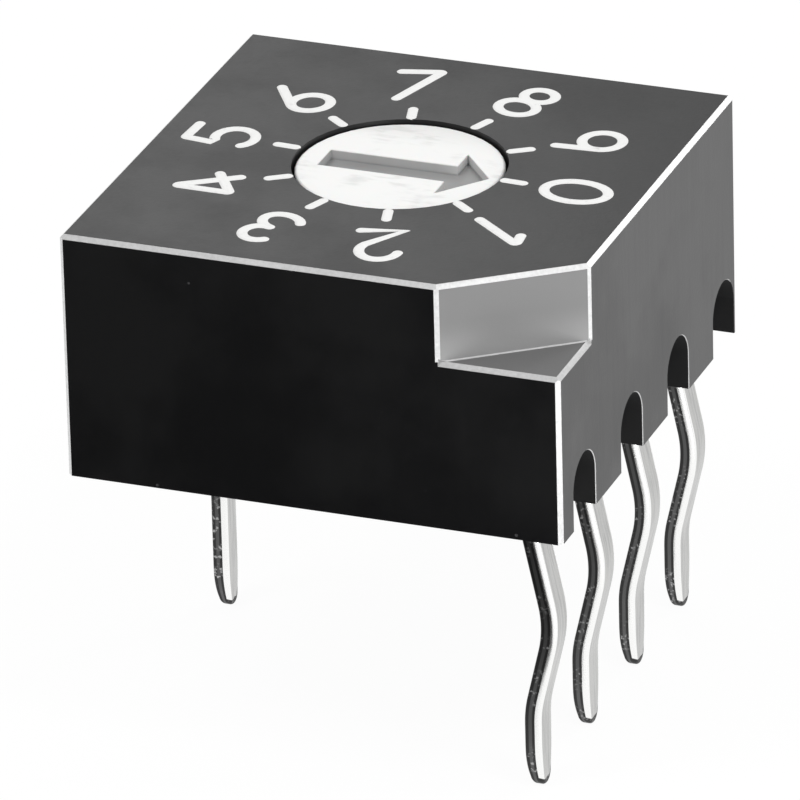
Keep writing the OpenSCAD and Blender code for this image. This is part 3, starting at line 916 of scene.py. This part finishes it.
@dataclass
class Dial:
    """White digits and ticks printed on the top of the housing, tops outward, clockwise from zero."""

    finish: PadPrint = PadPrint("white_print")
    positions: int = 10
    first_angle: float = -3.2
    digit_radius: float = 3.54
    digit_height: float = 1.44
    glyph_reach: float = 0.86
    stroke: float = 0.2
    tick_from: float = 2.08
    tick_to: float = 2.44
    tick_width: float = 0.19
    ink: float = 0.022
    rooted: float = 0.01
    smooth_below: float = 50.0

    @staticmethod
    def glyphs() -> list[list[np.ndarray]]:
        """Draws the digits 0 to 9 in a box one high, centred on x = 0.

        Returns:
            The middle lines of each digit's strokes.
        """
        def bent(*points: tuple[float, float]) -> np.ndarray:
            """A line through the points, with its corners just rounded."""
            return rounded_path(points, [0.02] * (len(points) - 2), 6)

        def join(*parts: np.ndarray) -> np.ndarray:
            """One line from several."""
            return np.concatenate(parts)

        return [
            [arc((0, 0.46), (0.3, 0.42), 0, 360, 40)],
            [bent((0.02, 0.06), (0.02, 0.94), (-0.16, 0.76))],
            [join(arc((0.0, 0.66), (0.25, 0.27), 165, -40), bent((-0.27, 0.08), (0.28, 0.08)))],
            [arc((-0.02, 0.71), (0.21, 0.21), 150, -88), arc((-0.02, 0.29), (0.26, 0.21), 88, -150)],
            [bent((0.12, 0.07), (0.12, 0.93), (-0.3, 0.3), (0.3, 0.3))],
            [join(bent((0.24, 0.93), (-0.2, 0.93), (-0.23, 0.55)), arc((0, 0.33), (0.27, 0.26), 122, -140))],
            [arc((0, 0.31), (0.26, 0.24), 0, 360, 32), bent((-0.255, 0.36), (-0.06, 0.94))],
            [bent((-0.26, 0.92), (0.27, 0.92), (-0.25, 0.07))],
            [arc((0, 0.73), (0.21, 0.19), 0, 360, 32), arc((0, 0.29), (0.26, 0.22), 0, 360, 32)],
            [arc((0, 0.67), (0.26, 0.26), 0, 360, 32), bent((0.24, 0.57), (-0.04, 0.07))],
        ]

    def profile(self) -> np.ndarray:
        """Section of a stroke, from its middle over its edge to its root. The top is ink * (1 - share ** 4).

        Returns:
            Rows of share of half width and height.
        """
        across = np.array([0.0, 0.35, 0.6, 0.8, 0.92, 1.0])
        top = np.stack([across, self.ink * (1 - across ** 4)], -1)
        return np.concatenate([top, [[1.0, -self.rooted], [0.0, -self.rooted]]])

    def stroke_mesh(self, line: np.ndarray, width: float, top: float) -> tuple[np.ndarray, np.ndarray]:
        """One stroke of ink: each row of the profile is the contour scaled towards the middle line.

        Args:
            line: the stroke's middle line, closed where its ends are the same.
            width: its full width.
            top: height of the face that it is printed on.

        Returns:
            Its points and faces.
        """
        closed = bool(np.allclose(line[0], line[-1]))
        profile = self.profile()
        if closed:
            line = line[:-1]
            along = directions(line, True)
            outward = np.stack([along[:, 1], -along[:, 0]], -1)
            ring = np.concatenate([profile[-2::-1], profile[1:-1] * [-1, 1]])
            places = line[None] + outward[None] * (ring[:, 0] * width / 2)[:, None, None]
            places = np.concatenate([places, places[:1]])
            heights = np.concatenate([ring[:, 1], ring[:1, 1]])
        else:
            places = Contour.round_line(line, np.full(len(line), width / 2)).shrunk(profile[:, 0])
            heights = profile[:, 1]
        return level_rings(places, heights + top)

    def build(self) -> None:
        """Makes the digits as one piece and the ticks as another."""
        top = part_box("housing")[1].z / MM
        material = self.finish.material()
        digits, ticks = [], []
        for number, glyph in enumerate(self.glyphs()):
            angle = math.radians(self.first_angle - number * 360 / self.positions)
            out = np.array([math.cos(angle), math.sin(angle)])
            right = np.array([out[1], -out[0]])
            for line in glyph:
                scaled = (line - [0, 0.5]) * (self.digit_height - self.stroke) / self.glyph_reach
                spot = out * (self.digit_radius + scaled[:, 1:]) + right * scaled[:, :1]
                digits.append(self.stroke_mesh(spot, self.stroke, top))
            reach = np.linspace(self.tick_from, self.tick_to, 6)[:, None]
            ticks.append(self.stroke_mesh(out * reach, self.tick_width, top))
        for name, parts in (("dial_digits", digits), ("dial_ticks", ticks)):
            offsets = np.cumsum([0] + [len(p) for p, _ in parts])
            points = np.concatenate([p for p, _ in parts])
            faces = np.concatenate([f + o for (_, f), o in zip(parts, offsets)])
            piece = make_piece(name, points, faces, material, Body.HOUSING, self.smooth_below)


@dataclass
class RotorHead:
    """The white rotor, with the edges of its arrow softened."""

    rounding: float = 0.015
    segments: int = 2
    sharper_than: float = 40.0
    smooth_below: float = 30.0
    arrow_depth: float = 0.2
    flat_above: float = 0.5

    def build(self) -> None:
        """Makes the dressed rotor in place of the solid."""
        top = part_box("rotor")[1].z / MM
        material = MouldedWhite("white_moulding", top, top - self.arrow_depth).material()
        mesh = softened_mesh("rotor", self.rounding, self.segments, self.sharper_than)
        piece = place_piece(mesh, "rotor_head", material, Body.ROTOR, self.smooth_below, self.flat_above)
        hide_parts("rotor")


@dataclass
class Terminal:
    """One terminal: its node, side of the body, place along the row, place of its leaf, width and bends."""

    node: str
    side: int
    row_y: float
    leaf_x: float
    width: float
    kinks: list[tuple[float, float]]
    radii: list[float]


@dataclass
class Terminals:
    """Five tinned strips that leave the base, turn down through the slots and end in tapered feet.

    A foot loses the share "taper" of its width and "thinned" of its thickness, and a dark rim is painted
    round it as shade.
    """

    finish: TinnedStrip = TinnedStrip("tinned_strip")
    pitch: float = 2.54
    row_offset: float = 0.25
    tracks: tuple[float, ...] = (1.95, 2.75, 2.35, 1.55)
    common_track: float = 1.15
    thickness: float = 0.3
    code_width: float = 0.65
    common_width: float = 0.55
    tail_width: float = 0.4
    tail_z: float = 1.0
    shoulder_z: float = 0.45
    shoulder_length: float = 0.12
    reach: float = 5.5
    exit_x: float = 3.73
    weld_y: float = 1.15
    burr_side: float = 0.012
    roll_depth: float = 0.125
    roll_share: float = 0.25
    shear: tuple[tuple[float, int], ...] = ((0.0, 1), (0.25, 1), (0.45, 2), (0.7, 2), (0.85, 1))
    kink: tuple[float, float] = (4.2, -2.2)
    foot: tuple[float, float] = (3.8, -3.9)
    common_foot: tuple[float, float] = (4.3, -2.2)
    kink_r: float = 2.2
    bend_r: float = 0.25
    taper: float = 0.3
    taper_length: float = 0.75
    thinned: float = 0.62
    # Width, reach and inset of the dark rim painted round the foot as shade.
    rim_shade: float = 0.19
    rim_shade_length: float = 0.35
    rim_shade_side: float = 0.55
    rim_shade_back: float = 0.1
    stations: int = 170
    bar_stations: int = 8
    smooth_below: float = 40.0

    def each(self) -> list[Terminal]:
        """Lists the terminals.

        Returns:
            The four code terminals, front to back, and the common one.
        """
        rows = [self.row_offset + (i - 1.5) * self.pitch for i in range(4)]
        names = ["terminal_1", "terminal_2", "terminal_4", "terminal_8"]
        kinks, r = [self.kink, self.foot], self.kink_r
        code = [
            Terminal(name, 1, y, x, self.code_width, kinks, [r, r])
            for name, y, x in zip(names, rows, self.tracks)
        ]
        foot = [self.common_foot]
        common = Terminal("terminal_common", -1, rows[2], self.common_track, self.common_width, foot, [r])
        return code + [common]

    def profile(self, side: int) -> np.ndarray:
        """Section over half a strip.

        The edge is square to the face towards -X and rolls over to the other in a quarter of an ellipse.

        Args:
            side: side of the body, 1 for +X and -1 for -X.

        Returns:
            Rows of share of half width, height, mark of the sheared edge and mark of its roll.
        """
        top, step = self.thickness / 2, self.burr_side
        a = np.radians(np.linspace(0.0, 90.0, 8))
        depth = 2 * top - step - self.roll_depth
        square = [(0.0, top, 0, 0), (0.6, top, 0, 0), (0.97, top, 0, 0)]
        square += [(1.0, top - step - share * depth, mark, 0) for share, mark in self.shear]
        roll = np.stack([1 - self.roll_share * (1 - np.cos(a)), self.roll_depth * (1 - np.sin(a)) - top,
                         np.clip(1 - a / a[1], 0, 1), np.clip(a / a[1], 0, 1)], -1)
        face = [(0.99 - self.roll_share, -top, 0, 0.4), (0.4, -top, 0, 0), (0.0, -top, 0, 0)]
        return np.concatenate([square, roll, face]) * [1, side, 1, 1]

    def bent_strip(self, t: Terminal) -> tuple[np.ndarray, np.ndarray, np.ndarray]:
        """The strip from its weld bar to its foot.

        A flat strip is drawn along its length s and width y with a round foot. Then each place goes to
        P(s) + h N(s), where P is the bent side view, N its normal and h the height above the strip's middle.

        Args:
            t: the terminal.

        Returns:
            Points, faces and marks.
        """
        start = t.leaf_x - self.tail_width / 2
        corners = [(start, self.tail_z), (self.exit_x, self.tail_z), (self.exit_x, 0.0), *t.kinks]
        corners.append((t.kinks[-1][0], -self.reach))
        path = rounded_path(corners, [self.bend_r, self.bend_r * 2, *t.radii], 16)
        legs = np.hypot(*np.diff(path, axis=0).T)
        length = np.concatenate([[0.0], np.cumsum(legs)])
        keep = np.concatenate([[True], legs > 1e-9])
        path, length = path[keep], length[keep]
        end = length[-1] - t.width / 2 * (1.0 - self.taper)
        s = np.linspace(self.tail_width / 2, end, self.stations)
        z = np.interp(s, length, path[:, 1])
        past = (s > self.exit_x - start) & (z < self.shoulder_z)
        ease = np.clip((self.shoulder_z - z) / self.shoulder_length, 0.0, 1.0) * past
        narrowed = 1.0 - self.taper * self.nearness(s, s[-1], self.taper_length) ** 2
        half = (self.tail_width + (t.width - self.tail_width) * ease) / 2 * narrowed
        contour = Contour.round_line(np.stack([s, 0 * s], -1), half, 16)
        profile = self.profile(t.side)
        flat = contour.shrunk(profile[:, 0])
        along = directions(path, False)
        where, y = flat[..., 0], flat[..., 1]
        inside = np.clip(where, 0.0, length[-1])
        spare = where - inside
        base = [np.interp(inside, length, path[:, k]) for k in (0, 1)]
        way = [np.interp(inside, length, along[:, k]) for k in (0, 1)]
        near_tip = self.nearness(where, length[-1], self.taper_length)
        kept = 1.0 - self.thinned * (1.0 - np.sqrt(1.0 - near_tip ** 2))
        outer = -t.side * self.thickness / 2
        height = outer + (profile[:, 1][:, None] - outer) * kept
        px = base[0] + spare * way[0] + height * way[1]
        pz = base[1] + spare * way[1] - height * way[0]
        points = np.stack([t.side * px, t.row_y + y, pz], -1)
        # The rim of the foot, which is painted dark for shade.
        station, (lengthways, sideways) = contour.centre[:, 0], contour.outward.T
        tipward = np.where(station > s[0], np.clip(lengthways, 0.0, 1.0), 0.0)
        far = self.nearness(station, s[-1], self.rim_shade_length) * (sideways > 0.0)
        tipward = np.maximum(tipward, far * self.rim_shade_side)
        rim = profile[:, :1] - 1.0 + self.rim_shade / contour.half_width * tipward - self.rim_shade_back
        return points.reshape(-1, 3), grid_faces(*rim.shape), self.strip_marks(profile, rim)

    @staticmethod
    def nearness(place: np.ndarray, end: float, length: float) -> np.ndarray:
        """Rises from zero at a length before the end to one at the end."""
        return np.clip((place - end) / length + 1.0, 0.0, 1.0)

    @staticmethod
    def strip_marks(profile: np.ndarray, rim: np.ndarray) -> np.ndarray:
        """The marks of the sheared edge, of its roll and of the rim painted dark round the foot, one row for
        each point.
        """
        cut, band = (np.broadcast_to(profile[:, k:k + 1], rim.shape) for k in (2, 3))
        return np.stack([cut, band, rim], -1).reshape(-1, 3)

    def weld_bar(self, t: Terminal) -> tuple[np.ndarray, np.ndarray, np.ndarray]:
        """The stretch of the tail that lies along the row direction under its contact spring.

        Args:
            t: the terminal.

        Returns:
            Points, faces and marks.
        """
        inner = math.copysign(self.weld_y, 1 if t.row_y > 0 else -1)
        count = self.bar_stations
        line = np.stack([np.full(count, t.side * t.leaf_x), np.linspace(t.row_y, inner, count)], -1)
        profile = self.profile(t.side)
        flat = Contour.round_line(line, np.full(count, self.tail_width / 2), 8).shrunk(profile[:, 0])
        rim = np.full(flat.shape[:2], -1.0)
        return *level_rings(flat, profile[:, 1] + self.tail_z), self.strip_marks(profile, rim)

    def build(self) -> None:
        """Makes each terminal in place of its solid."""
        material = self.finish.material()
        for t in self.each():
            strip, bar = self.bent_strip(t), self.weld_bar(t)
            points = np.concatenate([strip[0], bar[0]])
            faces = np.concatenate([strip[1], bar[1] + len(strip[0])])
            marks = dict(zip(("cut", "band", "rim"), np.concatenate([strip[2], bar[2]]).T))
            name = t.node + "_strip"
            piece = make_piece(name, points, faces, material, Body.HOUSING, self.smooth_below, marks)
            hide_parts(t.node)


@dataclass
class PottedBase:
    """The resin under the base, with a meniscus that creeps towards the rim of its pocket."""

    finish: Potting = Potting("potting_resin")
    corner_r: float = 0.08
    creep: float = 0.06
    creep_length: float = 0.35
    smooth_below: float = 40.0

    def build(self) -> None:
        """Makes the resin. Its lower face rises by creep * (1 - exp(-d / length)) at d from the rim."""
        low, high = (np.array(corner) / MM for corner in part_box("base_seal"))
        middle, half = (low + high)[:2] / 2, (high - low)[:2] / 2
        r = self.corner_r
        outline = np.concatenate([
            arc(middle + np.array([sx, sy]) * (half - r), (r, r), start, start + 90, 6)
            for sx, sy, start in ((1, 1, 0), (-1, 1, 90), (-1, -1, 180), (1, -1, 270))
        ])
        outline = np.concatenate([
            np.linspace(a, b, 14, endpoint=False) for a, b in zip(outline, np.roll(outline, -1, 0))
        ])
        inset = np.array([0.0, 0.01, 0.03, 0.06, 0.1, 0.16, 0.25, 0.4, 0.6, 0.8, 1.0])
        share = np.concatenate([[0.0, 1.0], 1 - inset])
        risen = low[2] + self.creep * (1 - np.exp(-inset * half[0] / self.creep_length))
        places = middle + (outline - middle)[None] * share[:, None, None]
        points, faces = level_rings(places, np.concatenate([[high[2], high[2]], risen]))
        material = self.finish.material()
        piece = make_piece("potting", points, faces, material, Body.HOUSING, self.smooth_below)
        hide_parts("base_seal")


@dataclass
class InnerWorks:
    """Finishes of the solids that stay as they are: the base and everything inside."""

    steel: Metal = Metal("spring_steel", (0.6, 0.6, 0.6), (0.45, 0.45, 0.46), 0.22)
    gold: Metal = Metal("gold_plate", (0.9, 0.66, 0.3), (0.78, 0.55, 0.24), 0.25)
    base: MattBlack = MattBlack("base_moulding")
    board: Laminate = Laminate("disc_laminate")
    rubber: Rubber = Rubber("seal_ring")

    def dress(self) -> None:
        """Gives each remaining solid its material."""
        gold, steel = self.gold.material(), self.steel.material()
        finishes = {
            "base": self.base.material(),
            "rotor_seal": self.rubber.material(),
            "code_disc": self.board.material(),
            "shorting_plate": gold,
            "detent_spring": steel,
            "detent_ball_head": steel,
            "detent_ball_tail": steel,
        }
        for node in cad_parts:
            if node.startswith("contact_spring"):
                finishes[node] = gold
        for node, material in finishes.items():
            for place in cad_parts[node].material_slots:
                place.material = material
            LOG.info("%s: %s", node, material.name)


# Stage


@dataclass(frozen=True)
class ViewPoint:
    """The camera of the reference view: angles in degrees, distances in millimetres, frame in pixels."""

    azimuth: float = 21.19
    elevation: float = 25.397
    roll: float = -1.492
    distance: float = 206.73
    aside: tuple[float, float] = (-0.024, 0.098)
    focal_px: float = 11246.7
    centre_px: tuple[float, float] = (404.80, 396.56)
    frame_px: float = 800.0
    sensor: float = 36.0
    nearest: float = 10.0

    def back(self) -> Vector:
        """The way from the object back to the camera."""
        a, e = math.radians(self.azimuth), math.radians(self.elevation)
        return Vector((math.sin(a) * math.cos(e), -math.cos(a) * math.cos(e), math.sin(e)))

    def build(self) -> None:
        """Adds the camera and makes it the scene's own."""
        a, r = math.radians(self.azimuth), math.radians(self.roll)
        back = self.back()
        level = Vector((math.cos(a), math.sin(a), 0.0))
        plumb = back.cross(level)
        right = level * math.cos(r) + plumb * math.sin(r)
        up = plumb * math.cos(r) - level * math.sin(r)
        place = back * self.distance + right * self.aside[0] + up * self.aside[1]
        data = bpy.data.cameras.new("camera")
        data.sensor_width = self.sensor
        data.lens = self.sensor * self.focal_px / self.frame_px
        data.shift_x = 0.5 - self.centre_px[0] / self.frame_px
        data.shift_y = self.centre_px[1] / self.frame_px - 0.5
        data.clip_start = self.nearest * MM
        camera = bpy.data.objects.new("camera", data)
        turn = Matrix((right, up, back)).transposed().to_4x4()
        camera.matrix_world = Matrix.Translation(place * MM) @ turn
        bpy.context.scene.collection.objects.link(camera)
        bpy.context.scene.camera = camera


@dataclass(frozen=True)
class Panel:
    """A soft panel that a face mirrors to the camera.

    It stands at a distance from a place on that face, along the mirrored line of sight, so that only faces
    of about that normal shine with it. Lengths are millimetres.
    """

    name: str
    place: Triple
    normal: Triple
    distance: float
    size: tuple[float, float]
    radiance: float

    def mirror_way(self, back: Vector) -> Vector:
        """The line of sight mirrored at the face: r = 2 (n . v) n - v."""
        n = Vector(self.normal).normalized()
        return 2.0 * n.dot(back) * n - back


@dataclass
class Studio:
    """Pale floor, soft panels and a plain surround.

    The flag is a black cloth on the floor in front of the switch. Only gloss sees it, so the front wall
    stays dark.
    """

    view: ViewPoint
    floor_half: float = 1500.0
    floor_colour: Colour = (0.93, 0.93, 0.93)
    floor_glow: float = 0.95
    surround: float = 0.72
    gloss_front: float = 0.03
    gloss_behind: float = 0.4
    gloss_turn: float = 0.35
    flag_colour: Colour = (0.01, 0.01, 0.01)
    flag_from: float = -7.5
    flag_size: tuple[float, float] = (90.0, 80.0)
    flag_right: float = 6.0
    flag_lift: float = 0.05
    panels: list[Panel] = field(default_factory=lambda: [
        Panel("top_key", (0.0, 0.0, 4.8), (-0.13, -0.13, 1.0), 170, (75, 68), 1.1),
        Panel("front_edge_panel", (0.0, -4.8, 4.8), (0, -1, 1), 250, (60, 60), 9),
        Panel("side_edge_panel", (4.8, 0.0, 4.8), (1, 0, 1), 250, (60, 60), 8),
        Panel("notch_edge_panel", (3.6, -3.9, 4.8), (0.42, -0.57, 0.71), 250, (50, 50), 12),
        Panel("notch_panel", (3.6, -3.9, 4.0), (0.56, -0.774, 0.34), 13, (11, 8), 1.6),
        Panel("corner_panel", (4.8, -4.8, 1.6), (1, -1, 0), 14, (4, 9), 6),
    ])

    def lamp(self, panel: Panel) -> None:
        """Adds an area lamp that the camera doesn't see. Its power is four times area times radiance.

        Args:
            panel: the panel that it stands for.
        """
        light = bpy.data.lights.new(panel.name, "AREA")
        light.shape = "RECTANGLE"
        light.size, light.size_y = (side * MM for side in panel.size)
        light.energy = 4.0 * light.size * light.size_y * panel.radiance
        way = panel.mirror_way(self.view.back())
        lamp = bpy.data.objects.new(panel.name, light)
        lamp.location = (Vector(panel.place) + way * panel.distance) * MM
        lamp.rotation_euler = way.to_track_quat("Z", "Y").to_euler()
        lamp.visible_camera = False
        bpy.context.scene.collection.objects.link(lamp)

    def plane(
        self, name: str, low: Sequence[float], high: Sequence[float], z: float, material: bpy.types.Material
    ) -> bpy.types.Object:
        """Adds a level stage piece.

        Args:
            name: its name.
            low: x and y of one corner, in millimetres.
            high: x and y of the corner across.
            z: its height.
            material: its finish.

        Returns:
            The object.
        """
        corners = [(low[0], low[1], z), (high[0], low[1], z), (high[0], high[1], z), (low[0], high[1], z)]
        mesh = bpy.data.meshes.new(name)
        mesh.from_pydata([Vector(c) * MM for c in corners], [], [(0, 1, 2, 3)])
        mesh.materials.append(material)
        made = bpy.data.objects.new(name, mesh)
        bpy.context.scene.collection.objects.link(made)
        made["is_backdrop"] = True
        return made

    def floor_material(self) -> bpy.types.Material:
        """Builds the finish of the pale matt floor, which glows to the eye and is clear from below.

        Returns:
            The material.
        """
        g = Graph("floor")
        paint = g.node("ShaderNodeBsdfDiffuse", {}, {"Color": (*self.floor_colour, 1.0)})
        glow = g.node("ShaderNodeEmission", {}, {"Color": WHITE, "Strength": 1.0})
        clear = g.node("ShaderNodeBsdfTransparent", {}, {})
        bare = self.path(g, "Camera") * (1.0 - self.floor_glow)
        seen = g.node("ShaderNodeMixShader", {}, {0: self.seen(g) - bare, 1: paint, 2: glow})
        below = g.node("ShaderNodeNewGeometry", {}, {}, "Backfacing")
        both = g.node("ShaderNodeMixShader", {}, {0: below, 1: seen, 2: clear})
        g.node("ShaderNodeOutputMaterial", {}, {"Surface": both})
        return g.owner

    def flag_material(self) -> bpy.types.Material:
        """Builds the dull black cloth of the flag.

        Returns:
            The material.
        """
        g = Graph("flag")
        paint = g.node("ShaderNodeBsdfDiffuse", {}, {"Color": (*self.flag_colour, 1.0)})
        g.node("ShaderNodeOutputMaterial", {}, {"Surface": paint})
        return g.owner

    @staticmethod
    def path(g: Graph, kind: str) -> Signal:
        """One on rays of a kind."""
        return g.node("ShaderNodeLightPath", {}, {}, f"Is {kind} Ray")

    def seen(self, g: Graph) -> Signal:
        """One on rays that carry a picture: straight, mirrored or passed through."""
        return self.path(g, "Camera") + self.path(g, "Glossy") + self.path(g, "Transmission")

    def world(self) -> None:
        """White to the camera, and for gloss pale behind the switch and dark in front of it."""
        g = Graph("studio", world=True)
        bpy.context.scene.world = g.owner
        way = g.node("ShaderNodeTexCoord", {}, {}, "Generated")
        behind = g.axis(way, "Y").smooth(-self.gloss_turn, self.gloss_turn)
        gloss = self.path(g, "Glossy")
        shown = self.seen(g) - gloss
        mirrored = self.gloss_front + behind * (self.gloss_behind - self.gloss_front)
        strength = shown + gloss * mirrored + (1.0 - shown - gloss) * self.surround
        light = g.node("ShaderNodeBackground", {}, {"Color": WHITE, "Strength": strength})
        g.node("ShaderNodeOutputWorld", {}, {"Surface": light})

    def build(self) -> None:
        """Sets up floor, flag, lamps and surround."""
        floor_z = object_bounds()[0][2] / MM
        h, (x, y), near = self.floor_half, self.flag_size, self.flag_from
        self.plane("floor", (-h, -h), (h, h), floor_z, self.floor_material())
        corners = (-x, near - y), (self.flag_right, near)
        flag = self.plane("flag", *corners, floor_z + self.flag_lift, self.flag_material())
        flag.visible_camera = flag.visible_diffuse = flag.visible_shadow = flag.visible_transmission = False
        for panel in self.panels:
            self.lamp(panel)
        self.world()
        LOG.info("studio: %d panels", len(self.panels))


def write_sizes() -> None:
    """Brings the view layer up to date."""
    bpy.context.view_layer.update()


def main() -> None:
    """Builds the camera, the pieces and the stage in order."""
    logging.basicConfig(level=logging.INFO, format="%(message)s")
    bpy.context.scene.view_settings.view_transform = "Standard"
    view = ViewPoint()
    view.build()
    Shell().build()
    Dial().build()
    RotorHead().build()
    Terminals().build()
    PottedBase().build()
    InnerWorks().dress()
    write_sizes()
    Studio(view).build()


if __name__ == "__main__":
    main()
